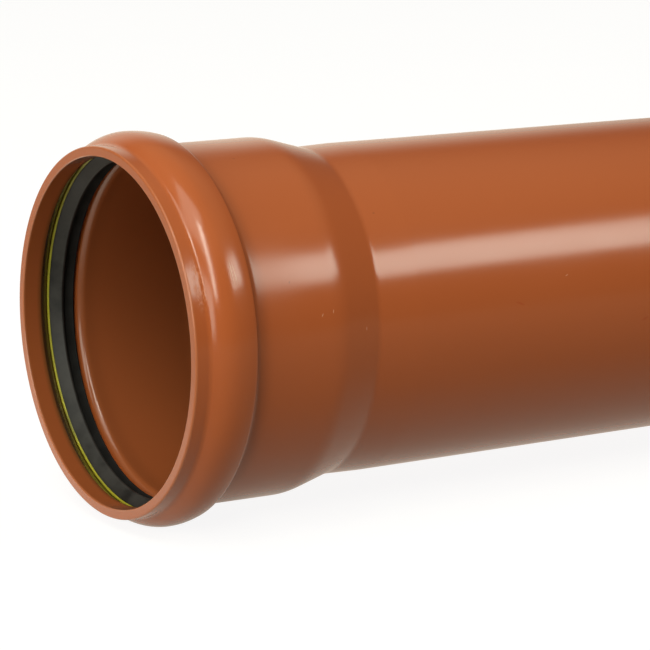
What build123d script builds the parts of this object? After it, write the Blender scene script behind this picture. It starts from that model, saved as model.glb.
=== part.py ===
"""A length of buried drain pipe, 200 mm outside diameter, in solid unplasticised PVC.

One end is belled into a socket. A lip seal sits for good in a groove behind the socket's mouth, because the
hot pipe wall was formed over it. The other end is cut square and chamfered.

Lengths are in millimetres. Each piece is one section, drawn as (x, radius) in the XY plane with x = 0 at the
socket's mouth, and turned about the X axis. The origin is then moved to the middle of the pipe's axis. The
plain end is at +X, and the pipe lies level, on its crown.
"""

import os
from math import cos, radians, sin, sqrt, tan

from build123d import *

# Barrel
BARREL_D = 200.0
WALL = 6.0
LAYING_LENGTH = 1000.0  # what one pipe adds to a line of pipes, its socket left out
END_CHAMFER_DEPTH = 2.5
END_CHAMFER_ANGLE = 15.0

# Socket
SOCKET_DEPTH = 98.5  # from the mouth to where the socket's outside begins to taper
SPIGOT_GAP = 0.9  # radial play of another pipe's plain end in the socket
MOUTH_GAP = 3.2  # the same between the mouth and the seal
TAPER_ANGLE = 13.5
TAPER_ENTRY_RADIUS = 40.0
TAPER_EXIT_RADIUS = 25.0
RIM_ROUND = 1.2
MOUTH_CHAMFER = 0.5

# Crown: the bulge that the wall makes over the seal
CROWN_X = 24.7
CROWN_RISE = 9.5  # its height over the socket's outside
CROWN_FRONT_RADIUS = 14.0
CROWN_REAR_RADIUS = 34.0
FLANK_ANGLE = 36.0  # slope of its side that faces the mouth
NECK_RADIUS = 4.0
SHOULDER_ANGLE = 66.0  # how steeply the wall drops behind the seal, outside and inside
SHOULDER_WALL = 4.5  # the wall there, drawn thinner when the hot socket was pulled over the seal
SHOULDER_GAP = 0.4  # from the seal's heel to the shoulder's start
REAR_EDGE_RADIUS = 3.0  # where the crown's rear arc turns down into the drop
CREASE_RADIUS = 6.0  # where the drop meets the socket's outside
SHOULDER_FOOT_RADIUS = 6.0  # where the shoulder runs out into the socket's bore

# Retaining ring
RETAINER_THICKNESS = 1.7
RETAINER_NOSE = 1.7  # how far it runs down the flank from the crown's front arc
RETAINER_REACH = 12.0  # degrees of the crown's front arc that it covers

# Seal ring
SEAT_GAP = 0.05  # between any two pieces
LIP_X = 25.4
LIP_GAP = 0.55  # radial distance from another pipe's plain end to the relaxed lip
LIP_WIDTH = 1.2
LIP_ROOT_X = 28.4
LIP_ROOT_DEPTH = 4.6  # how far the rubber behind the lip stays under the inside of the crown's crest
HEEL_X = 34.0
HEEL_DEPTH = 8.8

barrel_r = BARREL_D / 2
bore_r = barrel_r - WALL
socket_bore_r = barrel_r + SPIGOT_GAP
socket_r = socket_bore_r + WALL
rim_r = barrel_r + MOUTH_GAP + WALL
crown_r = socket_r + CROWN_RISE
total_length = LAYING_LENGTH + SOCKET_DEPTH

# Where the flank runs, and the way from it straight into the groove
along_flank = Vector(cos(radians(FLANK_ANGLE)), sin(radians(FLANK_ANGLE)))
into_groove = Vector(sin(radians(FLANK_ANGLE)), -cos(radians(FLANK_ANGLE)))
front_centre = Vector(CROWN_X, crown_r - CROWN_FRONT_RADIUS)
rear_centre = Vector(CROWN_X, crown_r - CROWN_REAR_RADIUS)


def flank_top(depth):
    """The point where the flank runs into the crown's front arc, this deep under the outside."""
    return front_centre - into_groove * (CROWN_FRONT_RADIUS - depth)


def flank_foot(depth):
    """The point where the flank meets the rim's cylinder."""
    top = flank_top(depth)
    rise = top.Y - (rim_r - depth)
    return top - along_flank * (rise / along_flank.Y)


def crown_end(depth):
    """The point where the crown's rear arc, run on, would meet the socket's cylinder."""
    level = socket_r - depth
    run = sqrt((CROWN_REAR_RADIUS - depth) ** 2 - (level - rear_centre.Y) ** 2)
    return Vector(CROWN_X + run, level)


def crown_arcs(depth, end):
    """The crown's two arcs, from the flank over the crest to this point of the rear arc."""
    crest = Vector(CROWN_X, crown_r - depth)
    front = RadiusArc(flank_top(depth), crest, CROWN_FRONT_RADIUS - depth)
    rear = RadiusArc(crest, end, CROWN_REAR_RADIUS - depth)
    return [front, rear]


def shoulder_top():
    """The point where the inside of the crown's rear arc turns into the shoulder, just behind the seal."""
    x = HEEL_X + SHOULDER_GAP
    return Vector(x, rear_centre.Y + sqrt((CROWN_REAR_RADIUS - WALL) ** 2 - (x - CROWN_X) ** 2))


def shoulder_foot():
    """The point where the shoulder meets the socket's bore."""
    top = shoulder_top()
    return Vector(top.X + (top.Y - socket_bore_r) / tan(radians(SHOULDER_ANGLE)), socket_bore_r)


def outer_shoulder():
    """The two ends of the outside's drop behind the crown, parallel to the shoulder."""
    turn = radians(SHOULDER_ANGLE)
    down = Vector(cos(turn), -sin(turn))
    middle = shoulder_top() + Vector(sin(turn), cos(turn)) * SHOULDER_WALL
    from_centre = middle - rear_centre
    along = from_centre.dot(down)
    way_up = along + sqrt(along**2 - from_centre.dot(from_centre) + CROWN_REAR_RADIUS**2)
    way_down = (middle.Y - socket_r) / sin(turn)
    return [middle - down * way_up, middle + down * way_down]


def taper_points(depth):
    """The taper's two corners, before they are rounded, on a line parallel to the outside."""
    shift = depth * tan(radians(TAPER_ANGLE / 2))
    run = (socket_r - barrel_r) / tan(radians(TAPER_ANGLE))
    start = Vector(SOCKET_DEPTH - shift, socket_r - depth)
    return [start, Vector(start.X + run, barrel_r - depth)]


def face_of(*edges):
    return make_face(Wire(edges))


def rounded(face, corner, radius):
    """The face with its corner nearest to this point rounded."""
    return fillet(face.vertices().sort_by_distance(corner)[0], radius)


def pipe_section():
    """The wall's section: rim, crown over the seal, socket, taper, barrel and chamfered end."""
    mouth_bore_r = rim_r - WALL
    outer_taper = taper_points(0)
    inner_taper = taper_points(WALL)
    rear_edge, crease = outer_shoulder()
    chamfer_run = END_CHAMFER_DEPTH / tan(radians(END_CHAMFER_ANGLE))
    outside = [
        Line((0, rim_r), flank_foot(0)),
        Line(flank_foot(0), flank_top(0)),
        *crown_arcs(0, rear_edge),
        Line(rear_edge, crease),
        Line(crease, outer_taper[0]),
        Line(outer_taper[0], outer_taper[1]),
        Line(outer_taper[1], (total_length - chamfer_run, barrel_r)),
        Line((total_length - chamfer_run, barrel_r), (total_length, barrel_r - END_CHAMFER_DEPTH)),
        Line((total_length, barrel_r - END_CHAMFER_DEPTH), (total_length, bore_r)),
    ]
    inside = [
        Line((total_length, bore_r), inner_taper[1]),
        Line(inner_taper[1], inner_taper[0]),
        Line(inner_taper[0], shoulder_foot()),
        Line(shoulder_foot(), shoulder_top()),
        *crown_arcs(WALL, shoulder_top()),
        Line(flank_top(WALL), flank_foot(WALL)),
        Line(flank_foot(WALL), (MOUTH_CHAMFER, mouth_bore_r)),
        Line((MOUTH_CHAMFER, mouth_bore_r), (0, mouth_bore_r + MOUTH_CHAMFER)),
        Line((0, mouth_bore_r + MOUTH_CHAMFER), (0, rim_r)),
    ]
    face = face_of(*outside, *inside)
    for corner, radius in (
        ((0, rim_r), RIM_ROUND),
        (flank_foot(0), NECK_RADIUS),
        (rear_edge, REAR_EDGE_RADIUS),
        (crease, CREASE_RADIUS),
        (shoulder_foot(), SHOULDER_FOOT_RADIUS),
        (outer_taper[0], TAPER_ENTRY_RADIUS),
        (inner_taper[0], TAPER_ENTRY_RADIUS - WALL),
        (outer_taper[1], TAPER_EXIT_RADIUS),
        (inner_taper[1], TAPER_EXIT_RADIUS + WALL),
    ):
        face = rounded(face, corner, radius)
    return face


def groove_space(depth):
    """All that lies inside the groove's wall, this deep under the pipe's outside."""
    foot = flank_foot(depth)
    end = crown_end(depth)
    floor = bore_r
    return face_of(
        Line(foot, flank_top(depth)),
        *crown_arcs(depth, end),
        Line(end, (end.X, floor)),
        Line((end.X, floor), (foot.X, floor)),
        Line((foot.X, floor), foot),
    )


def region(*corners):
    return make_face(Polyline(*corners, close=True))


def seat_band(near, far, nose, reach):
    """A strip along the groove's front wall, between two depths, from its nose to an angle past the flank."""
    strip = groove_space(near) - groove_space(far)
    nose_point = flank_top(near) - along_flank * nose
    turn = radians(FLANK_ANGLE - reach)
    beyond = front_centre + Vector(-sin(turn), cos(turn)) * 2 * CROWN_FRONT_RADIUS
    window = region(
        nose_point - into_groove * WALL,
        nose_point + into_groove * 2 * WALL,
        front_centre,
        beyond,
    )
    return strip & window


def retainer_section():
    """The strip of stiff plastic between the groove's front wall and the seal."""
    near = WALL + SEAT_GAP
    return seat_band(near, near + RETAINER_THICKNESS, RETAINER_NOSE, RETAINER_REACH)


def seal_section():
    """The rubber ring's section: it fills the groove behind the retaining ring and ends inwards in a lip."""
    inside_crown = crown_r - WALL
    back_of_retainer = WALL + SEAT_GAP + RETAINER_THICKNESS + SEAT_GAP
    lip_r = barrel_r + LIP_GAP
    front_root = flank_top(back_of_retainer) - along_flank * RETAINER_NOSE
    lip_front = Vector(LIP_X - LIP_WIDTH / 2, lip_r)
    lip_back = Vector(LIP_X + LIP_WIDTH / 2, lip_r)
    lip_root = Vector(LIP_ROOT_X, inside_crown - LIP_ROOT_DEPTH)
    heel = Vector(HEEL_X, inside_crown - HEEL_DEPTH)
    body = region(
        front_root,
        lip_front,
        lip_back,
        lip_root,
        heel,
        Vector(HEEL_X, crown_r),
        Vector(front_root.X, crown_r) - into_groove * WALL,
    )
    seat = groove_space(WALL + SEAT_GAP)
    retainer_room = seat_band(0, back_of_retainer, 2 * WALL, RETAINER_REACH + 1)
    return (body & seat) - retainer_room


def turned(section):
    """The section turned about the axis, with the pipe's middle at the origin."""
    return Pos(-total_length / 2, 0, 0) * revolve(section, Axis.X, 360)


def main():
    os.makedirs("parts", exist_ok=True)
    export_step(turned(pipe_section()), "parts/pipe.step")
    export_step(turned(retainer_section()), "parts/retaining_ring.step")
    export_step(turned(seal_section()), "parts/seal_ring.step")


main()
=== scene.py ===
# %% [markdown]
# # A length of drain pipe with a belled socket
#
# The object is a piece of orange-brown PVC sewer pipe, 200 mm across and 1.1 m long. One end is belled into
# a socket, and a rubber lip seal sits for good in the groove behind its mouth, held by a thin yellow ring.
#
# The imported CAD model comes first, because every visible piece has to lie exactly where its solid lies. The
# origin is in the middle of the pipe, on its axis. The mouth of the socket is at the low end of X.

from math import acos, atan2, cos, degrees, pi, radians, sin, sqrt, tan

import bpy
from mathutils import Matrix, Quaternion, Vector


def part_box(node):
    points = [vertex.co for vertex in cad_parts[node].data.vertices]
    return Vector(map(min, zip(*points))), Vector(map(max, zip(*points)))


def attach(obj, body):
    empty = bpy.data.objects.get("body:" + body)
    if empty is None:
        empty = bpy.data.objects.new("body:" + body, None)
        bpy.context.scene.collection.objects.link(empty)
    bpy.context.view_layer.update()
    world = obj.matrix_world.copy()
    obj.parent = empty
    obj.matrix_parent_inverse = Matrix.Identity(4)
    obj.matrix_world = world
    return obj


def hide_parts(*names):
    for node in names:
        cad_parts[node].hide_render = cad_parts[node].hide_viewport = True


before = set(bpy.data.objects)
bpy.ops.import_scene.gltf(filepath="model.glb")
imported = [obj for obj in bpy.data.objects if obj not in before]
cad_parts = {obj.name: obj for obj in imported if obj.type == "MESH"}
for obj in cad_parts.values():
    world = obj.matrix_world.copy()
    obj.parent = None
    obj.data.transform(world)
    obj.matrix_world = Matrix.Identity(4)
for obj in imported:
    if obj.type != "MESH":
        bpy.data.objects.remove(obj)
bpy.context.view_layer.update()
mouth_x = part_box("pipe")[0].x
floor_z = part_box("pipe")[0].z
print("nodes:", sorted(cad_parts), "mouth at x =", round(mouth_x, 4), "floor at z =", round(floor_z, 4))

# %% [markdown]
# ## The camera
#
# The photograph looks down a little and along the pipe from the socket's end, through a long lens. The
# place and the lens were found by matching the ellipse of the mouth and the straight edges of the barrel. A
# long lens a metre and a half away keeps the barrel's edges nearly parallel, as they are in the picture.

# %% Camera
camera_data = bpy.data.cameras.new("camera")
camera_data.lens = 159.55
camera_data.sensor_width = 36
camera = bpy.data.objects.new("camera", camera_data)
camera.location = (-1.3173, -1.4581, 0.318)
camera.rotation_euler = (radians(79.22), 0, radians(-32.27))
bpy.context.scene.collection.objects.link(camera)
bpy.context.scene.camera = camera
print("camera at", tuple(round(v, 3) for v in camera.location), "lens", camera_data.lens)

# %% [markdown]
# ## Sizes
#
# A pipe like this is one profile turned about the axis, so a few radii and lengths say all of its shape.
# Most are the CAD model's own sizes. The crown's arcs and the taper are a little different, because here
# they are this one pipe's, as the photograph shows it. Lengths along the axis run from the mouth.

# %% Sizes in metres
MM = 0.001
BARREL_R = 100 * MM
WALL = 6 * MM
TOTAL_LENGTH = 1098.5 * MM
END_CHAMFER = (9.33 * MM, 2.5 * MM)  # how far the chamfer runs, and how deep
RIM_R = 109.2 * MM
RIM_ROUND = 1.2 * MM
MOUTH_CHAMFER = 0.5 * MM
SOCKET_R = 106.9 * MM
SOCKET_DEPTH = 106.2 * MM  # on the axis: the CAD model has the shallower side that faces the camera
CROWN_R = 116.28 * MM  # a hair under the solid's, so that it stays within the box of the solid's flats
CROWN_X = 24.7 * MM
CROWN_FRONT_RADIUS = 15.3 * MM  # before the crest, inside and where the groove needs it
CROWN_REAR_RADIUS = 37 * MM
FLANK_ANGLE = radians(36)
OUTER_FRONT_RADIUS = 20 * MM  # the outside is rounder there
OUTER_NECK_RADIUS = 4.5 * MM  # the hollow between the rim and the crown
SHOULDER_X = 34.4 * MM
SHOULDER_ANGLE = radians(66)
SHOULDER_FOOT_RADIUS = 6 * MM
REAR_EDGE_X = 36.8 * MM  # where the crown's rear arc turns down into the drop behind it
REAR_EDGE_RADIUS = 3 * MM
CREASE_RADIUS = 6 * MM
TAPER_ANGLE = radians(15.5)
TAPER_ENTRY_RADIUS = 43 * MM
TAPER_EXIT_RADIUS = 15 * MM
print("barrel", BARREL_R * 2, "m across, crown", CROWN_R * 2, "m across")

# %% [markdown]
# The wall keeps its thickness while it is blown over the seal, so the inside of the crown is the outside
# moved in by the wall. Each point of the section is therefore worked out by its depth under the outside. A
# corner is written as (x, radius, rounding), and the rounding is cut later by a node.

# %% Points on the wall, by depth under the outside
along_flank = Vector((cos(FLANK_ANGLE), sin(FLANK_ANGLE)))
into_groove = Vector((sin(FLANK_ANGLE), -cos(FLANK_ANGLE)))
front_centre = Vector((CROWN_X, CROWN_R - CROWN_FRONT_RADIUS))
rear_centre = Vector((CROWN_X, CROWN_R - CROWN_REAR_RADIUS))


def flank_top(depth):
    """Where the slope behind the rim runs into the crown."""
    return front_centre - into_groove * (CROWN_FRONT_RADIUS - depth)


def flank_foot(depth):
    """Where the slope starts, on the rim's cylinder."""
    top = flank_top(depth)
    return top - along_flank * ((top.y - RIM_R + depth) / along_flank.y)


def front_arc(depth, start, end, steps):
    """Points on the crown's front arc, between two angles before the crest, in degrees."""
    radius = CROWN_FRONT_RADIUS - depth
    angles = [radians(start + (end - start) * i / steps) for i in range(steps + 1)]
    return [front_centre + Vector((-sin(a), cos(a))) * radius for a in angles]


def rear_arc(depth, steps, end_x):
    """Points on the crown's rear arc, from the crest to end_x."""
    radius = CROWN_REAR_RADIUS - depth
    reach = end_x - CROWN_X
    sweep = atan2(reach, sqrt(radius**2 - reach**2))
    angles = [sweep * i / steps for i in range(steps + 1)]
    return [rear_centre + Vector((sin(a), cos(a))) * radius for a in angles]


def shoulder_corners():
    """The shoulder's two ends: its foot on the socket's bore, and its top behind the seal."""
    top = rear_arc(WALL, 1, SHOULDER_X)[-1]
    bore = SOCKET_R - WALL
    return Vector((top.x + (top.y - bore) / tan(SHOULDER_ANGLE), bore)), top


def crease_corner():
    """Where the steep drop behind the crown meets the socket's outside."""
    edge = rear_arc(0, 1, REAR_EDGE_X)[-1]
    return Vector((edge.x + (edge.y - SOCKET_R) / tan(SHOULDER_ANGLE), SOCKET_R))


def taper_corners(depth, flare=0.0, waist=0.0):
    """The taper's two corners. Flare widens its start, and waist deepens its end."""
    start = SOCKET_DEPTH - depth * tan(TAPER_ANGLE / 2)
    run = (SOCKET_R + flare - BARREL_R + waist) / tan(TAPER_ANGLE)
    return Vector((start, SOCKET_R + flare - depth)), Vector((start + run, BARREL_R - waist - depth))


print("flank from x =", round(flank_foot(0).x, 4), "to", round(flank_top(0).x, 4))

# %% [markdown]
# ## The section of the pipe
#
# The outside runs from the rim through a small hollow and over the crown, and drops steeply behind it to a
# crease. It goes on along the socket, down the taper and along the barrel to the chamfered end. The inside
# comes back the same way, and rises to the groove in a steep shoulder behind the seal.
#
# Belling leaves two small traces that the CAD model does without. The socket is a little wider at its taper
# than at its crease, and the barrel has a shallow waist where the taper ends, because the hot part sank as
# it cooled.


# %% Pipe section
def plain(points):
    """Points that are not rounded."""
    return [(p[0], p[1], 0.0) for p in points]


def front_crown(depth, steps=10):
    """The crown's front arc, from the top of the flank to the crest."""
    return plain(front_arc(depth, degrees(FLANK_ANGLE), 0, steps))


def outer_front(steps=10):
    """The outside before the crest: a hollow neck and a full round that touch, without a flat slope."""
    centre = Vector((CROWN_X, CROWN_R - OUTER_FRONT_RADIUS))
    lift = RIM_R + OUTER_NECK_RADIUS - centre.y
    reach = OUTER_FRONT_RADIUS + OUTER_NECK_RADIUS
    turn = acos(lift / reach)
    neck_centre = centre + Vector((-sin(turn) * reach, lift))
    angles = [turn * i / steps for i in range(steps + 1)]
    hollow = [neck_centre + Vector((sin(a), -cos(a))) * OUTER_NECK_RADIUS for a in angles]
    full = [centre + Vector((-sin(a), cos(a))) * OUTER_FRONT_RADIUS for a in angles[::-1]]
    return plain(hollow + full[1:])


LEAN_END = 200 * MM  # the wall leans only nearer to the mouth than this, and is cut into finer rings there
SOCKET_FLARE = 0.45 * MM
WAIST_DEPTH = 0.8 * MM
WAIST_LENGTH = 26 * MM
WAIST_RADIUS = 60 * MM


def pipe_section():
    """The whole closed section: the outside from the rim to the plain end, and back along the inside."""
    outer_in, outer_out = taper_corners(0, SOCKET_FLARE, WAIST_DEPTH)
    inner_in, inner_out = taper_corners(WALL)
    shoulder_foot, shoulder_top = shoulder_corners()
    chamfer_run, chamfer_depth = END_CHAMFER
    outside = [
        (0, RIM_R, RIM_ROUND),
        *outer_front(),
        *plain(rear_arc(0, 7, REAR_EDGE_X)[1:-1]),
        (*rear_arc(0, 7, REAR_EDGE_X)[-1], REAR_EDGE_RADIUS),
        (*crease_corner(), CREASE_RADIUS),
        (*outer_in, TAPER_ENTRY_RADIUS),
        (*outer_out, TAPER_EXIT_RADIUS),
        (outer_out.x + WAIST_LENGTH, BARREL_R, WAIST_RADIUS),
        (LEAN_END + 1 * MM, BARREL_R, 0),
        (TOTAL_LENGTH - chamfer_run, BARREL_R, 0),
        (TOTAL_LENGTH, BARREL_R - chamfer_depth, 0.2 * MM),
    ]
    bore = BARREL_R - WALL
    inside = [
        (TOTAL_LENGTH, bore, 0.3 * MM),
        (LEAN_END - 1 * MM, bore, 0),
        (*inner_out, TAPER_EXIT_RADIUS + WALL),
        (*inner_in, TAPER_ENTRY_RADIUS - WALL),
        (*shoulder_foot, SHOULDER_FOOT_RADIUS),
        (*shoulder_top, 0),
        *plain(rear_arc(WALL, 8, SHOULDER_X)[-2:0:-1]),
        *front_crown(WALL)[::-1],
        (*flank_foot(WALL), 0.4 * MM),
        (MOUTH_CHAMFER, RIM_R - WALL, 0.2 * MM),
        (0, RIM_R - WALL + MOUTH_CHAMFER, 0.15 * MM),
    ]
    return outside + inside


print("the pipe's section has", len(pipe_section()), "corners before rounding")

# %% [markdown]
# ## Turning a section with Geometry Nodes
#
# On a lathe a section is swept round the axis. Curve to Mesh does the same: a circle is the path and the
# section is the profile. All three pieces are turned bodies, so one tree makes them all. The section comes
# in as a curve whose point radius holds the rounding of each corner. Fillet Curve cuts the roundings,
# Subdivide Curve divides the long straight runs, more finely in the socket, and the sweep follows. A real
# pipe is not a perfect body: its bell was formed a little askew, and Set Position leans it by a few
# millimetres. Sharp edges are marked last, by their angle.


# %% Node helpers
def place(tree, kind, settings=(), **inputs):
    """Adds a node. Its inputs are given by name, as values or as sockets to link."""
    node = tree.nodes.new(kind)
    for name, value in dict(settings).items():
        setattr(node, name, value)
    for name, value in inputs.items():
        feed(tree, node.inputs[name.replace("_", " ")], value)
    return node


def feed(tree, socket, value):
    """Links a socket, or sets a plain value."""
    if isinstance(value, bpy.types.NodeSocket):
        tree.links.new(value, socket)
    else:
        socket.default_value = value


def maths(tree, operation, *values, clamp=False):
    """One Math node. Returns its output socket."""
    node = tree.nodes.new("ShaderNodeMath")
    node.operation = operation
    node.use_clamp = clamp
    for socket, value in zip(node.inputs, values):
        feed(tree, socket, value)
    return node.outputs[0]


def ramp(tree, value, low, high, to_low=0.0, to_high=1.0):
    """A smooth step: to_low where value is under low, to_high where it is over high."""
    node = place(tree, "ShaderNodeMapRange", {"interpolation_type": "SMOOTHSTEP"}, Value=value)
    for socket, number in zip(node.inputs[1:5], (low, high, to_low, to_high)):
        feed(tree, socket, number)
    return node.outputs[0]


def new_input(tree, name, kind, default=None):
    """Adds a named input to a tree."""
    socket = tree.interface.new_socket(name, in_out="INPUT", socket_type=kind)
    if default is not None:
        socket.default_value = default
    return socket


# %% The turning tree: inputs and roundings
turning = bpy.data.node_groups.new("turn a section", "GeometryNodeTree")
new_input(turning, "Section", "NodeSocketGeometry")
new_input(turning, "Steps round", "NodeSocketInt", 240)
new_input(turning, "Rounding points", "NodeSocketInt", 6)
new_input(turning, "Longest run", "NodeSocketFloat", 0.04)
new_input(turning, "Crease lean", "NodeSocketFloat", 0.0014)
new_input(turning, "Taper lean", "NodeSocketFloat", 0.0022)
new_input(turning, "Taper swing", "NodeSocketFloat", -0.0081)
new_input(turning, "Finish", "NodeSocketMaterial")
turning.interface.new_socket("Piece", in_out="OUTPUT", socket_type="NodeSocketGeometry")

given = place(turning, "NodeGroupInput").outputs
corner_radius = place(turning, "GeometryNodeInputRadius").outputs[0]
rounded = place(
    turning,
    "GeometryNodeFilletCurve",
    {"mode": "POLY"},
    Curve=given["Section"],
    Count=given["Rounding points"],
    Radius=corner_radius,
    Limit_Radius=True,
).outputs[0]

# %% The turning tree: rings and sweep
SOCKET_RUN = 4 * MM  # the longest run between two rings, in the part that leans

here = place(turning, "GeometryNodeInputPosition").outputs[0]
next_index = place(turning, "GeometryNodeOffsetPointInCurve", Offset=1).outputs["Point Index"]
following = place(
    turning, "GeometryNodeFieldAtIndex", {"data_type": "FLOAT_VECTOR"}, Index=next_index, Value=here
)
run = place(turning, "ShaderNodeVectorMath", {"operation": "DISTANCE"})
turning.links.new(here, run.inputs[0])
turning.links.new(following.outputs[0], run.inputs[1])
along = place(turning, "ShaderNodeSeparateXYZ", Vector=here).outputs["Y"]
lean_end = mouth_x + LEAN_END
allowed = ramp(turning, along, lean_end, lean_end + 0.5 * MM, SOCKET_RUN, given["Longest run"])
longest = maths(turning, "MINIMUM", allowed, given["Longest run"])
cuts = maths(turning, "FLOOR", maths(turning, "DIVIDE", run.outputs["Value"], longest))
divided = place(turning, "GeometryNodeSubdivideCurve", Curve=rounded, Cuts=cuts).outputs[0]

path = place(
    turning, "GeometryNodeCurvePrimitiveCircle", Resolution=given["Steps round"], Radius=1.0
).outputs["Curve"]
swept = place(turning, "GeometryNodeCurveToMesh", Curve=path, Profile_Curve=divided).outputs[0]
laid = place(turning, "GeometryNodeTransform", Geometry=swept, Rotation=(0, -pi / 2, 0)).outputs[0]
print("tree", turning.name, "has", len(turning.nodes), "nodes so far")

# %% [markdown]
# The sweep was made on a circle of one metre, with the section drawn a metre nearer the axis, so a section
# point at radius r lands at radius r. The mandrel that belled the hot pipe stood slightly out of square. So
# the wall is moved along the axis, by a lean in proportion to its height and by a swing in proportion to
# how near it is to the camera. Both start in the socket, grow towards the taper and are gone a little
# further along. The seal and its ring sit in the groove, where there is only a trace of it.

# %% The turning tree: lean
CREASE_LEANS = (22 * MM, 37 * MM)  # where the crease's lean comes in, from the mouth
TAPER_LEANS = (60 * MM, 98 * MM)
LEAN_FADES = (138 * MM, 190 * MM)


def along_pipe(value, span, *levels):
    """A smooth step over a span of the pipe's length, given from the mouth."""
    return ramp(turning, value, mouth_x + span[0], mouth_x + span[1], *levels)


at = place(turning, "GeometryNodeInputPosition").outputs[0]
split = place(turning, "ShaderNodeSeparateXYZ", Vector=at).outputs
into_socket = along_pipe(split["X"], CREASE_LEANS)
into_taper = along_pipe(split["X"], TAPER_LEANS)
out_of_taper = along_pipe(split["X"], LEAN_FADES, 1.0, 0.0)
height = maths(turning, "DIVIDE", split["Z"], BARREL_R)
nearness = maths(turning, "DIVIDE", split["Y"], -BARREL_R)
more_lean = maths(turning, "SUBTRACT", given["Taper lean"], given["Crease lean"])
lean = maths(
    turning,
    "ADD",
    maths(turning, "MULTIPLY", into_socket, given["Crease lean"]),
    maths(turning, "MULTIPLY", into_taper, more_lean),
)
swing = maths(turning, "MULTIPLY", into_taper, given["Taper swing"])
askew = maths(
    turning, "ADD", maths(turning, "MULTIPLY", height, lean), maths(turning, "MULTIPLY", nearness, swing)
)
shift = maths(turning, "MULTIPLY", askew, out_of_taper)
move = place(turning, "ShaderNodeCombineXYZ", X=shift).outputs[0]
leaned = place(turning, "GeometryNodeSetPosition", Geometry=laid, Offset=move).outputs[0]

# %% The turning tree: sharp edges and finish
SHARP_ANGLE = radians(28)

smooth = place(turning, "GeometryNodeSetShadeSmooth", {"domain": "FACE"}, Geometry=leaned)
edge_angle = place(turning, "GeometryNodeInputMeshEdgeAngle").outputs["Unsigned Angle"]
is_sharp = place(turning, "FunctionNodeCompare", {"data_type": "FLOAT", "operation": "GREATER_THAN"})
turning.links.new(edge_angle, is_sharp.inputs[0])
is_sharp.inputs[1].default_value = SHARP_ANGLE
sharpened = place(
    turning,
    "GeometryNodeSetShadeSmooth",
    {"domain": "EDGE"},
    Geometry=smooth.outputs[0],
    Selection=is_sharp.outputs[0],
    Shade_Smooth=False,
)
real = place(turning, "GeometryNodeRealizeInstances", Geometry=sharpened.outputs[0])
finished = place(turning, "GeometryNodeSetMaterial", Geometry=real.outputs[0], Material=given["Finish"])
out = place(turning, "NodeGroupOutput")
turning.links.new(finished.outputs[0], out.inputs[0])
print("tree", turning.name, "has", len(turning.nodes), "nodes")


# %% Turning a section into a piece
def section_curve(name, corners):
    """The section as a closed curve. Its X is the distance from the axis, less the path's radius."""
    data = bpy.data.curves.new(name, "CURVE")
    data.dimensions = "3D"
    spline = data.splines.new("POLY")
    spline.points.add(len(corners) - 1)
    for point, (x, radius, rounding) in zip(spline.points, corners):
        point.co = (radius - 1.0, mouth_x + x, 0, 1)
        point.radius = rounding
    spline.use_cyclic_u = True
    curve = bpy.data.objects.new(name, data)
    bpy.context.scene.collection.objects.link(curve)
    return curve


def set_inputs(modifier, values):
    """Sets a tree's inputs by the identifiers of their sockets."""
    for item in modifier.node_group.interface.items_tree:
        if item.in_out == "INPUT" and item.name in values:
            modifier[item.identifier] = values[item.name]


def turned(name, corners, finish, **values):
    """A turned piece: the tree's result as a plain mesh, weighted so that flat runs shade flat."""
    curve = section_curve(name + "_section", corners)
    modifier = curve.modifiers.new("turn", "NODES")
    modifier.node_group = turning
    set_inputs(modifier, {"Finish": finish, **{k.replace("_", " "): v for k, v in values.items()}})
    evaluated = curve.evaluated_get(bpy.context.evaluated_depsgraph_get())
    mesh = bpy.data.meshes.new_from_object(evaluated)
    bpy.data.objects.remove(curve)
    mesh.name = name
    piece = bpy.data.objects.new(name, mesh)
    bpy.context.scene.collection.objects.link(piece)
    weighted = piece.modifiers.new("flat runs", "WEIGHTED_NORMAL")
    weighted.keep_sharp = True
    finished_mesh = bpy.data.meshes.new_from_object(
        piece.evaluated_get(bpy.context.evaluated_depsgraph_get())
    )
    piece.modifiers.clear()
    piece.data = finished_mesh
    finished_mesh.name = name
    bpy.data.meshes.remove(mesh)
    return piece


# %% [markdown]
# ## Finishes
#
# Nothing on the pipe is one flat colour. The plastic has a slow drift of tone from the extruder, faint
# lines along the barrel where the die and the sizing sleeve dragged on it, and a few marks from handling.
# Effects that more than one finish needs are shader groups with named inputs. They put out masks and
# heights only.
#
# The first group says where on the turned body a point lies: how far from the mouth, and at what angle
# round the axis. The angle is 0 on the side towards the camera, and rises towards the top.


# %% Group: place on the turned body
def shader_group(name, inputs, outputs):
    """A shared group with number inputs. Returns it, its inputs' sockets and its output node."""
    tree = bpy.data.node_groups.new(name, "ShaderNodeTree")
    for label, default in inputs.items():
        new_input(tree, label, "NodeSocketFloat", default)
    for label in outputs:
        tree.interface.new_socket(label, in_out="OUTPUT", socket_type="NodeSocketFloat")
    return tree, place(tree, "NodeGroupInput").outputs, place(tree, "NodeGroupOutput")


def use(tree, group, **inputs):
    """Places a shared group in a material, with its own values."""
    return place(tree, "ShaderNodeGroup", {"node_tree": group}, **inputs).outputs


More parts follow.
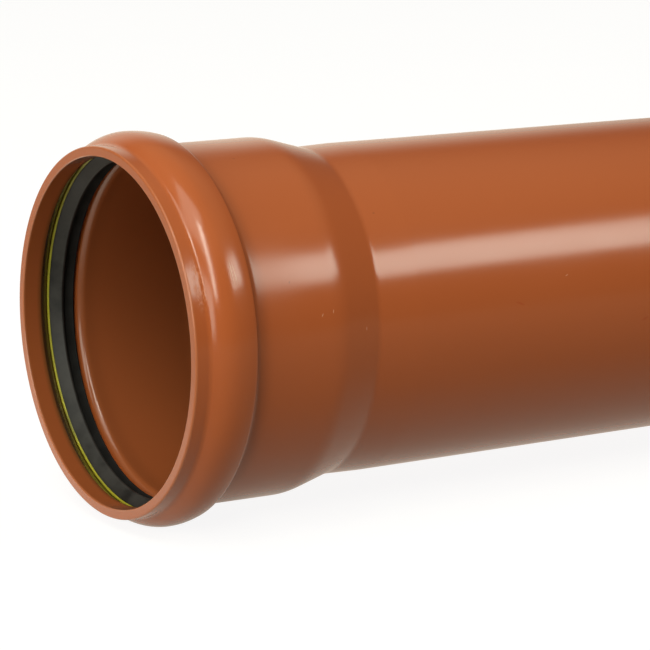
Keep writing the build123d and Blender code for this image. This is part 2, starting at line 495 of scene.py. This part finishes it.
spot, _, ends = shader_group("place on the turned body", {}, ["From mouth", "Angle", "Radius"])
coords = place(spot, "ShaderNodeTexCoord").outputs["Object"]
axes = place(spot, "ShaderNodeSeparateXYZ", Vector=coords).outputs
feed(spot, ends.inputs["From mouth"], maths(spot, "SUBTRACT", axes["X"], mouth_x))
feed(spot, ends.inputs["Angle"], maths(spot, "ARCTAN2", axes["Z"], maths(spot, "MULTIPLY", axes["Y"], -1.0)))
flat_sum = maths(spot, "ADD", maths(spot, "POWER", axes["Y"], 2.0), maths(spot, "POWER", axes["Z"], 2.0))
feed(spot, ends.inputs["Radius"], maths(spot, "SQRT", flat_sum))
print("group", spot.name)

# %% [markdown]
# A grain is noise of a chosen scale, squeezed or stretched along the axis. Stretched, it gives the long
# lines that an extruder leaves. Squeezed, it gives rings, as a mould or a mandrel leaves them.

# %% Group: grain
grain, asked, ends = shader_group(
    "grain",
    {"Scale": 100.0, "Along axis": 1.0, "Detail": 2.0, "Low": 0.35, "High": 0.65, "Seed": 0.0},
    ["Height", "Mask"],
)
stretch = place(grain, "ShaderNodeCombineXYZ", X=asked["Along axis"], Y=1.0, Z=1.0).outputs[0]
seed = asked["Seed"]
scaled = place(
    grain,
    "ShaderNodeMapping",
    Vector=place(grain, "ShaderNodeTexCoord").outputs["Object"],
    Location=place(grain, "ShaderNodeCombineXYZ", X=seed, Y=seed, Z=seed).outputs[0],
    Scale=stretch,
).outputs[0]
noise = place(
    grain, "ShaderNodeTexNoise", Vector=scaled, Scale=asked["Scale"], Detail=asked["Detail"]
).outputs["Fac"]
feed(grain, ends.inputs["Height"], noise)
feed(grain, ends.inputs["Mask"], ramp(grain, noise, asked["Low"], asked["High"]))
print("group", grain.name)

# %% [markdown]
# A mark is one small scratch, speck or smear at a given place. It is long in one direction and can be
# turned. The group puts out how strongly the mark shows at a point, from 0 to 1.

# %% Group: mark
mark, asked, ends = shader_group(
    "mark",
    {"At x": 0.1, "At angle": 0.0, "Length": 0.01, "Width": 0.001, "Turn": 0.0, "Softness": 0.5},
    ["Mask"],
)
body = use(mark, spot)
off_x = maths(mark, "SUBTRACT", body["From mouth"], asked["At x"])
off_round = maths(mark, "MULTIPLY", maths(mark, "SUBTRACT", body["Angle"], asked["At angle"]), body["Radius"])
turn_cos, turn_sin = maths(mark, "COSINE", asked["Turn"]), maths(mark, "SINE", asked["Turn"])
lengthwise = maths(
    mark, "ADD", maths(mark, "MULTIPLY", off_x, turn_cos), maths(mark, "MULTIPLY", off_round, turn_sin)
)
crosswise = maths(
    mark, "SUBTRACT", maths(mark, "MULTIPLY", off_round, turn_cos), maths(mark, "MULTIPLY", off_x, turn_sin)
)
far = maths(
    mark,
    "ADD",
    maths(mark, "POWER", maths(mark, "DIVIDE", maths(mark, "ABSOLUTE", lengthwise), asked["Length"]), 2.0),
    maths(mark, "POWER", maths(mark, "DIVIDE", maths(mark, "ABSOLUTE", crosswise), asked["Width"]), 2.0),
)
inner_edge = maths(mark, "SUBTRACT", 1.0, asked["Softness"])
feed(mark, ends.inputs["Mask"], ramp(mark, maths(mark, "SQRT", far), inner_edge, 1.0, 1.0, 0.0))
print("group", mark.name)


# %% Material helpers
def blank_material(name):
    """A material with a Principled BSDF. Returns it, its tree and the shader."""
    material = bpy.data.materials.new(name)
    material.use_nodes = True
    tree = material.node_tree
    return material, tree, tree.nodes["Principled BSDF"]


def blend_colour(tree, factor, first, second):
    """The first colour where factor is 0, the second where it is 1."""
    node = place(tree, "ShaderNodeMix", {"data_type": "RGBA"})
    feed(tree, node.inputs[0], factor)
    feed(tree, node.inputs[6], first)
    feed(tree, node.inputs[7], second)
    return node.outputs[2]


def belt(tree, value, rise, fall):
    """1 on a belt of the value: it rises over one span and falls over the other."""
    return maths(tree, "MULTIPLY", ramp(tree, value, *rise), ramp(tree, value, *fall, 1.0, 0.0))


def bump(tree, height, depth, normal=None):
    """A bump of so many metres, on top of another if one is given."""
    node = place(tree, "ShaderNodeBump", Height=height, Strength=1.0, Distance=depth)
    if normal is not None:
        tree.links.new(normal, node.inputs["Normal"])
    return node.outputs[0]


# %% [markdown]
# ### The pipe's plastic
#
# Sewer pipe is PVC coloured right through with an orange-brown pigment. It leaves the die with a satin
# gloss. The base colour drifts a little, slowly along the pipe and faster round it. Faint draw lines run
# the length of the barrel, but the socket was heated and blown again, which melted them away and left soft
# rings instead. The crease behind the crown is painted darker, as painted shade, and the groove's front
# wall before the seal is painted dark olive, as painted shade. Two thin scratches cross the crown, a rubbed
# patch dulls the hollow behind the rim and carries a painted highlight, and small ticks, specks and two
# reddish smears lie where the photograph has them.

# %% Pipe plastic: colour
PVC_COLOUR = (0.42, 0.099, 0.026, 1)
PVC_DEEP = (0.38, 0.087, 0.022, 1)
PVC_INSIDE = (0.29, 0.078, 0.024, 1)
PVC_CREASE_SHADE = (0.20, 0.055, 0.018, 1)
PVC_HIGHLIGHT = (0.60, 0.22, 0.10, 1)
PVC_SCRATCH = (0.78, 0.52, 0.34, 1)
PVC_REDDISH = (0.36, 0.052, 0.012, 1)
SPECK = (0.20, 0.055, 0.02, 1)
GROOVE_SHADE = (0.055, 0.036, 0.010, 1)

TAPER_SPAN = (100 * MM, 135 * MM)
WALL_MIDDLES = (SOCKET_R - WALL / 2, BARREL_R - WALL / 2)  # before and after the taper
CREASE_SHADE_BELT = (36.5 * MM, 40 * MM), (41 * MM, 53 * MM)

pvc, tree, shader = blank_material("pvc_pipe")
body = use(tree, spot)
wall_middle = ramp(tree, body["From mouth"], *TAPER_SPAN, *WALL_MIDDLES)
inside = ramp(tree, maths(tree, "SUBTRACT", wall_middle, body["Radius"]), 0.0, 0.5 * MM)
drift = use(tree, grain, Scale=9.0, Along_axis=0.25, Detail=3.0, Seed=3.1)["Mask"]
colour = blend_colour(tree, maths(tree, "MULTIPLY", drift, 0.5), PVC_COLOUR, PVC_DEEP)
colour = blend_colour(tree, inside, colour, PVC_INSIDE)
# painted shade: the crease behind the crown is painted darker
crease_shade = belt(tree, body["From mouth"], *CREASE_SHADE_BELT)
colour = blend_colour(tree, maths(tree, "MULTIPLY", crease_shade, 0.45), colour, PVC_CREASE_SHADE)
print("pipe plastic has", len(tree.nodes), "nodes for its plain colour")


# %% Pipe plastic: marks
def marks(tree, places, **shape):
    """The strongest of several marks, given as (x, angle in degrees, turn in degrees)."""
    strongest = 0.0
    for x, angle, turn in places:
        one = use(tree, mark, At_x=x, At_angle=radians(angle), Turn=radians(turn), **shape)["Mask"]
        strongest = one if strongest == 0.0 else maths(tree, "MAXIMUM", strongest, one)
    return strongest


scratches = marks(
    tree, [(0.02525, 25.0, 91), (0.02700, 24.6, 94)], Length=0.0088, Width=0.00020, Softness=0.6
)
ticks = marks(
    tree,
    [(0.0919, 11.1, 80), (0.1166, 4.3, 88), (0.2628, 14.2, 20), (0.0845, 10.3, 60)],
    Length=0.0016,
    Width=0.00035,
    Softness=0.8,
)
specks = marks(tree, [(0.0660, 21.3, 70), (0.1406, 43.7, 0), (0.0686, 71.3, 0)], Length=0.0010, Width=0.0006)
smears = marks(tree, [(0.2270, 6.4, -22), (0.3212, -4.2, 20)], Length=0.0045, Width=0.0011, Softness=0.8)
for amount, mask, tint in (
    (0.45, smears, PVC_REDDISH),
    (0.5, ticks, PVC_SCRATCH),
    (0.6, specks, SPECK),
    (0.9, scratches, PVC_SCRATCH),
):
    colour = blend_colour(tree, maths(tree, "MULTIPLY", mask, amount), colour, tint)
print("pipe plastic has", len(tree.nodes), "nodes with its marks")

# %% [markdown]
# The rubbed patch is a dull area behind the rim with short fine lines across it, as if the pipe had been
# dragged out of a stack. It is rougher than the rest, and it is painted paler where the right box reflects
# in the hollow, as a painted highlight. The saw left the rim's face duller than the skin, and the paler
# lines along its rounded edges are painted highlights.

# %% Pipe plastic: rubbed patch with a painted highlight, painted highlights on the rim's edges, painted shade in the groove
GROOVE_SHADE_BELT = (8.5 * MM, 13.5 * MM), (24 * MM, 26 * MM)
GROOVE_SHADE_RADII = (108.5 * MM, 109.2 * MM)  # the painted shade ends where the outside begins

patch = use(tree, mark, At_x=0.0068, At_angle=radians(23), Length=0.0046, Width=0.019, Softness=0.7)["Mask"]
hatch = use(tree, grain, Scale=420.0, Along_axis=2.6, Detail=3.0, Low=0.42, High=0.62, Seed=8.0)
scuff_and_highlight = maths(tree, "MULTIPLY", patch, hatch["Mask"])
on_face = ramp(tree, body["From mouth"], 0.8 * MM, 1.6 * MM, 1.0, 0.0)
outer_edge = ramp(tree, body["Radius"], RIM_R - 1.3 * MM, RIM_R - 0.5 * MM)
inner_edge = ramp(tree, body["Radius"], RIM_R - WALL + 0.4 * MM, RIM_R - WALL + 1.1 * MM, 1.0, 0.0)
rim_edge_highlight = maths(tree, "MULTIPLY", maths(tree, "MAXIMUM", outer_edge, inner_edge), on_face)
# painted highlight: the rubbed patch is painted paler where the right box reflects in the hollow
colour = blend_colour(tree, maths(tree, "MULTIPLY", scuff_and_highlight, 0.45), colour, PVC_HIGHLIGHT)
colour = blend_colour(tree, maths(tree, "MULTIPLY", on_face, 0.35), colour, PVC_INSIDE)
# painted highlights: paler lines along the rim face's rounded edges
colour = blend_colour(tree, maths(tree, "MULTIPLY", rim_edge_highlight, 0.25), colour, PVC_HIGHLIGHT)
# painted shade: the groove's front wall before the seal is painted dark olive
groove_shade = maths(
    tree,
    "MULTIPLY",
    belt(tree, body["From mouth"], *GROOVE_SHADE_BELT),
    ramp(tree, body["Radius"], *GROOVE_SHADE_RADII, 1.0, 0.0),
)
colour = blend_colour(tree, maths(tree, "MULTIPLY", groove_shade, 0.9), colour, GROOVE_SHADE)
feed(tree, shader.inputs["Base Color"], colour)

# %% Pipe plastic: gloss and bump
ROUGHNESS = (0.17, 0.20)  # the gloss is cloudy between these
RUBBED_ROUGHER = 0.22
CREASE_ROUGHER = 0.065
ROUGH_BELT = (36 * MM, 42 * MM), (50 * MM, 85 * MM)  # behind the crown
DRAWN_FROM = (105 * MM, 150 * MM)  # where the draw lines begin
LINE_DEPTH = 0.006 * MM
PEEL_DEPTH = 0.010 * MM
RUB_DEPTH = 0.03 * MM
SCRATCH_DEPTH = 0.08 * MM

cloudy = use(tree, grain, Scale=22.0, Along_axis=0.3, Detail=4.0, Seed=5.0)["Mask"]
roughness = ramp(tree, cloudy, 0.0, 1.0, *ROUGHNESS)
roughness = maths(tree, "ADD", roughness, maths(tree, "MULTIPLY", scuff_and_highlight, RUBBED_ROUGHER))
behind_crown = belt(tree, body["From mouth"], *ROUGH_BELT)
roughness = maths(tree, "ADD", roughness, maths(tree, "MULTIPLY", behind_crown, CREASE_ROUGHER))
feed(tree, shader.inputs["Roughness"], roughness)
shader.inputs["IOR"].default_value = 1.52

on_barrel = ramp(tree, body["From mouth"], *DRAWN_FROM)
drawn = use(tree, grain, Scale=420.0, Along_axis=0.004, Detail=2.0, Seed=1.0)["Height"]
orange_peel = use(tree, grain, Scale=260.0, Along_axis=0.5, Detail=2.0, Seed=2.0)["Height"]
lines = maths(tree, "MULTIPLY", drawn, on_barrel)
normal = bump(tree, lines, LINE_DEPTH)
normal = bump(tree, orange_peel, PEEL_DEPTH, normal)
normal = bump(tree, maths(tree, "MULTIPLY", scuff_and_highlight, -1.0), RUB_DEPTH, normal)
normal = bump(tree, maths(tree, "MULTIPLY", scratches, -1.0), SCRATCH_DEPTH, normal)
feed(tree, shader.inputs["Normal"], normal)
print("pipe plastic has", len(tree.nodes), "nodes")

# %% [markdown]
# ### The seal's rubber
#
# The seal is black rubber, pressed in a mould and wiped with a thin lubricant. It is not quite black: a
# faint grey bloom lies on it in patches, and the mould left fine rings on the lip. Behind the lip's edge it
# is painted darker and without bloom, as painted shade, and it is duller.

# %% Rubber
RUBBER_BLACK = (0.010, 0.0095, 0.009, 1)
RUBBER_BLOOM = (0.030, 0.028, 0.026, 1)
RUBBER_SHADE = (0.005, 0.0045, 0.004, 1)
LIP_EDGE = (25.0 * MM, 26.2 * MM)  # the shaded part begins here
RUBBER_ROUGHNESS = (0.42, 0.55)
SHADE_ROUGHER = 0.40
RUBBER_GRAIN = 0.01 * MM  # how deep the rings and the pores are

rubber, tree, shader = blank_material("seal_rubber")
bloom = use(tree, grain, Scale=60.0, Along_axis=1.0, Detail=5.0, Seed=4.0)["Mask"]
behind_lip = ramp(tree, use(tree, spot)["From mouth"], *LIP_EDGE)
lip_colour = blend_colour(tree, bloom, RUBBER_BLACK, RUBBER_BLOOM)
# painted shade: the rubber behind the lip's edge is painted darker
feed(tree, shader.inputs["Base Color"], blend_colour(tree, behind_lip, lip_colour, RUBBER_SHADE))
lip_roughness = ramp(tree, bloom, 0.0, 1.0, *RUBBER_ROUGHNESS)
duller = maths(tree, "MULTIPLY", behind_lip, SHADE_ROUGHER)
feed(tree, shader.inputs["Roughness"], maths(tree, "ADD", lip_roughness, duller))
shader.inputs["Specular IOR Level"].default_value = 0.3
rings = use(tree, grain, Scale=40.0, Along_axis=60.0, Detail=2.0, Seed=6.0)["Height"]
pores = use(tree, grain, Scale=1500.0, Detail=2.0, Seed=7.0)["Height"]
feed(tree, shader.inputs["Normal"], bump(tree, pores, RUBBER_GRAIN, bump(tree, rings, RUBBER_GRAIN)))
print("rubber has", len(tree.nodes), "nodes")

# %% [markdown]
# ### The retaining ring's plastic
#
# The thin ring is a stiff moulded plastic in yellow-green. Only its nose shows. Its colour is bright, with
# dust from the groove in patches, and its surface is a little rougher than the pipe's.

# %% Ring plastic
RING_YELLOW = (0.44, 0.41, 0.030, 1)
RING_DULL = (0.24, 0.23, 0.035, 1)
RING_ROUGHNESS = (0.32, 0.5)
RING_GRAIN = 0.01 * MM

ring_plastic, tree, shader = blank_material("ring_plastic")
dust = use(tree, grain, Scale=45.0, Detail=4.0, Low=0.4, High=0.75, Seed=9.0)["Mask"]
feed(tree, shader.inputs["Base Color"], blend_colour(tree, dust, RING_YELLOW, RING_DULL))
feed(tree, shader.inputs["Roughness"], ramp(tree, dust, 0.0, 1.0, *RING_ROUGHNESS))
texture = use(tree, grain, Scale=800.0, Detail=3.0, Seed=10.0)["Height"]
feed(tree, shader.inputs["Normal"], bump(tree, texture, RING_GRAIN))
print("ring plastic has", len(tree.nodes), "nodes")

# %% [markdown]
# ## The pipe
#
# The pipe's own solid is right in shape, but it is cut into 72 flats. The turned mesh has 256, its small
# edges are rounded, and its taper leans as the real one does, so it stands for the solid.

# %% Turn the pipe
STEPS_ROUND = 256

pipe = turned("pvc_pipe", pipe_section(), pvc, Steps_round=STEPS_ROUND)
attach(pipe, "root")
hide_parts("pipe")
print("pipe:", len(pipe.data.polygons), "faces")

# %% [markdown]
# ## The retaining ring
#
# A strip of plastic, 1.7 mm thick, lies against the front wall of the groove. Its nose is rounded, and
# shows as a thin bright line in front of the rubber.

# %% Turn the retaining ring
SEAT_GAP = 0.05 * MM
RETAINER_THICKNESS = 1.7 * MM
RETAINER_NOSE = 1.7 * MM
RETAINER_REACH = 12  # degrees of the front arc that it covers


def strip_side(depth, steps=6):
    """One side of the strip, from its nose up the flank and round the arc."""
    nose = flank_top(depth) - along_flank * RETAINER_NOSE
    return [nose, *front_arc(depth, degrees(FLANK_ANGLE), degrees(FLANK_ANGLE) - RETAINER_REACH, steps)]


def retainer_section():
    """The strip's closed section, with a round nose."""
    near = WALL + SEAT_GAP
    outer = plain(strip_side(near))
    inner = plain(strip_side(near + RETAINER_THICKNESS))[::-1]
    outer[0] = (*outer[0][:2], 0.9 * MM)
    inner[-1] = (*inner[-1][:2], 0.5 * MM)
    return outer + inner


retainer = turned("yellow_ring", retainer_section(), ring_plastic, Steps_round=STEPS_ROUND, Longest_run=0.002)
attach(retainer, "root")
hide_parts("retaining_ring")
print("yellow ring:", len(retainer.data.polygons), "faces")

# %% [markdown]
# ## The seal
#
# The rubber fills the groove behind the strip. A lip slopes inwards and back from the strip's nose, and
# ends a little above the space that the next pipe's end will take. Behind the lip the rubber stays clear,
# so that the lip can fold back.

# %% Turn the seal
LIP_X = 25.4 * MM
LIP_R = BARREL_R + 0.55 * MM
LIP_WIDTH = 1.2 * MM
LIP_ROOT = (28.4 * MM, CROWN_R - WALL - 4.6 * MM)
HEEL = (34 * MM, CROWN_R - WALL - 8.7 * MM)


def seal_section():
    """The seal's closed section, from the lip's root round its tip and the heel and back along the groove."""
    back_of_strip = WALL + RETAINER_THICKNESS + 2 * SEAT_GAP
    seat = WALL + SEAT_GAP
    front_root = flank_top(back_of_strip) - along_flank * RETAINER_NOSE
    strip_end = degrees(FLANK_ANGLE) - RETAINER_REACH - 1
    over_seat = front_arc(seat, strip_end, 0, 4) + rear_arc(seat, 6, HEEL[0])[1:]
    under_strip = front_arc(back_of_strip, degrees(FLANK_ANGLE), strip_end, 4)
    return [
        (*front_root, 0.3 * MM),
        (LIP_X - LIP_WIDTH / 2, LIP_R, 0.4 * MM),
        (LIP_X + LIP_WIDTH / 2, LIP_R, 0.4 * MM),
        (*LIP_ROOT, 1.2 * MM),
        (*HEEL, 0.6 * MM),
        *plain(over_seat)[::-1],
        *plain(under_strip)[::-1],
    ]


seal = turned("rubber_seal", seal_section(), rubber, Steps_round=STEPS_ROUND, Longest_run=0.003)
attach(seal, "root")
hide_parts("seal_ring")
print("seal:", len(seal.data.polygons), "faces")

# %% [markdown]
# ## The floor and the background
#
# The photograph was taken on white. A real floor lit by the same lamps would come out grey, and more light
# would wash out the pipe. So the camera sees a floor that is mostly white by itself, with a little of the
# lit floor added, which keeps the pipe's shadow. The rest of the scene sees a sheet of paper that is grey
# in front, where the studio was dark, and white further back. The pipe's lower side mirrors the grey part,
# and its edges mirror the white part, as pale lines.

# %% Floor
FLOOR_SIZE = 16.0
FLOOR_WHITE = (0.80, 0.79, 0.76, 1)
FLOOR_FIBRES = (0.78, 0.775, 0.75, 1)
FLOOR_FRONT = (0.27, 0.27, 0.26, 1)
FLOOR_GLOW = 0.90  # what the camera sees by itself
FLOOR_LIT = 0.20  # how much of the lit floor is added to it
WHITE = (1, 1, 1, 1)
PAPER_TINT = (1, 0.90, 0.76, 1)  # of that light in the gloss, which the pipe itself warms
BACK_GLOW = 0.95  # what the pipe's gloss sees of the white further back
WHITE_FROM, WHITE_TO = -0.20, 0.15  # where the grey turns to white, along Y
BEFORE_MOUTH = 0.35  # the white fades out over this length before the mouth, along X

floor_mesh = bpy.data.meshes.new("floor")
half = FLOOR_SIZE / 2
floor_corners = [(-half, -half), (half, -half), (half, half), (-half, half)]
floor_mesh.from_pydata([(x, y, floor_z) for x, y in floor_corners], [], [(0, 1, 2, 3)])
floor = bpy.data.objects.new("floor", floor_mesh)
bpy.context.scene.collection.objects.link(floor)

paper, tree, shader = blank_material("floor_paper")
ray = place(tree, "ShaderNodeLightPath").outputs
coords = place(tree, "ShaderNodeTexCoord").outputs["Object"]
across = place(tree, "ShaderNodeSeparateXYZ", Vector=coords).outputs
whiter = ramp(tree, across["Y"], WHITE_FROM, WHITE_TO)
fibres = use(tree, grain, Scale=3.0, Detail=3.0, Seed=11.0)["Mask"]
sheet = blend_colour(tree, fibres, FLOOR_WHITE, FLOOR_FIBRES)
unseen = blend_colour(tree, whiter, FLOOR_FRONT, sheet)
feed(tree, shader.inputs["Base Color"], blend_colour(tree, ray["Is Camera Ray"], unseen, sheet))
shader.inputs["Roughness"].default_value = 1.0
shader.inputs["Specular IOR Level"].default_value = 0.0

# %% Floor: what the camera and the pipe's gloss see
seen_glow = maths(tree, "MULTIPLY", ray["Is Camera Ray"], FLOOR_GLOW)
beside = ramp(tree, across["X"], mouth_x - BEFORE_MOUTH, mouth_x)
white_part = maths(tree, "MULTIPLY", whiter, beside)
gloss_glow = maths(tree, "MULTIPLY", maths(tree, "MULTIPLY", ray["Is Glossy Ray"], white_part), BACK_GLOW)
glow = place(
    tree,
    "ShaderNodeEmission",
    Color=blend_colour(tree, ray["Is Camera Ray"], PAPER_TINT, WHITE),
    Strength=maths(tree, "ADD", seen_glow, gloss_glow),
)
nothing = place(tree, "ShaderNodeEmission", Strength=0.0)
dimmed = place(tree, "ShaderNodeMixShader")
feed(tree, dimmed.inputs[0], maths(tree, "MULTIPLY", ray["Is Camera Ray"], 1.0 - FLOOR_LIT))
tree.links.new(shader.outputs[0], dimmed.inputs[1])
tree.links.new(nothing.outputs[0], dimmed.inputs[2])
total = place(tree, "ShaderNodeAddShader")
tree.links.new(dimmed.outputs[0], total.inputs[0])
tree.links.new(glow.outputs[0], total.inputs[1])
tree.links.new(total.outputs[0], tree.nodes["Material Output"].inputs["Surface"])
floor_mesh.materials.append(paper)
print("floor", FLOOR_SIZE, "m square at z =", round(floor_z, 4))

# %% [markdown]
# The room is nearly dark, so that the lamps shape the pipe. Its ceiling glows a little, which fills the top
# of the pipe. The wall behind is white, low down, and shows along the pipe's upper edge, where the surface
# is seen at a grazing angle.

# %% Room
ROOM_DIM = (0.08, 0.08, 0.084, 1)
WALL_WHITE = (1.00, 0.92, 0.75, 1)
CEILING = (0.42, 0.36, 0.26, 1)
CEILING_FROM = (0.55, 0.85)  # its glow comes in between these heights, as sines
WALL_AT = (168, 8)  # the azimuth and the height of the wall's middle, in degrees
WALL_SPREAD = (38, 16)  # degrees from its middle to where it begins, and to where it is full white


def direction_of(azimuth, elevation):
    """A direction by its angle round from the front, towards the right, and its height, in degrees."""
    a, e = radians(azimuth), radians(elevation)
    return Vector((sin(a) * cos(e), -cos(a) * cos(e), sin(e)))


world = bpy.data.worlds.new("room")
world.use_nodes = True
tree = world.node_tree
background = tree.nodes["Background"]
facing = place(tree, "ShaderNodeVectorMath", {"operation": "DOT_PRODUCT"})
looking = place(tree, "ShaderNodeTexCoord").outputs["Generated"]
tree.links.new(looking, facing.inputs[0])
facing.inputs[1].default_value = direction_of(*WALL_AT)
behind = ramp(tree, facing.outputs["Value"], *(cos(radians(angle)) for angle in WALL_SPREAD))
looking_up = place(tree, "ShaderNodeSeparateXYZ", Vector=looking).outputs["Z"]
overhead = ramp(tree, looking_up, *CEILING_FROM)
room = blend_colour(tree, behind, blend_colour(tree, overhead, ROOM_DIM, CEILING), WALL_WHITE)
ray = place(tree, "ShaderNodeLightPath").outputs
feed(tree, background.inputs["Color"], blend_colour(tree, ray["Is Camera Ray"], room, WHITE))
bpy.context.scene.world = world
print("room built")

# %% [markdown]
# ## Lamps
#
# Four soft boxes light the pipe. One to the right in front draws the long band along the barrel. A tall
# narrow one to the left draws the stripe down the crown, and a broad dim one beside it fills the top. A low
# one far to the left lights the rim's face and the crown's near side. A lamp's power is set from the
# brightness of its face, where 1 is the brightness of white paper under plain light. All are far away, so
# the band runs evenly along the barrel.

# %% Soft boxes
AIM = Vector((mouth_x + 0.15, 0, 0))
LAMP_DISTANCE = 6.0
LAMP_COLOUR = (0.98, 0.99, 0.87)


def soft_box(name, azimuth, elevation, width, height, brightness, roll=0.0):
    """A soft box that faces the socket, as wide and as high as these angles in degrees."""
    data = bpy.data.lights.new(name, "AREA")
    data.shape = "RECTANGLE"
    data.color = LAMP_COLOUR
    data.size = 2 * LAMP_DISTANCE * tan(radians(width / 2))
    data.size_y = 2 * LAMP_DISTANCE * tan(radians(height / 2))
    data.energy = brightness * pi * data.size * data.size_y
    lamp = bpy.data.objects.new(name, data)
    away = direction_of(azimuth, elevation)
    lamp.location = AIM + away * LAMP_DISTANCE
    turned_to = away.to_track_quat("Z", "Y") @ Quaternion((0, 0, 1), radians(roll))
    lamp.rotation_euler = turned_to.to_euler()
    bpy.context.scene.collection.objects.link(lamp)
    print(name, "is", round(data.size, 2), "by", round(data.size_y, 2), "m")
    return lamp


soft_box("right_box", 40, 32, 23, 14.5, 6.9, roll=-5)
soft_box("key_box", -40, 41, 8.5, 40, 11.5, roll=8)
soft_box("left_box", -66, 60, 32, 36, 2.2)
soft_box("low_box", -80, 14, 60, 26, 3.7)

# %% [markdown]
# ## Colours as they are
#
# The Standard view shows each colour as it was written.

# %% Finish
bpy.context.scene.view_settings.view_transform = "Standard"
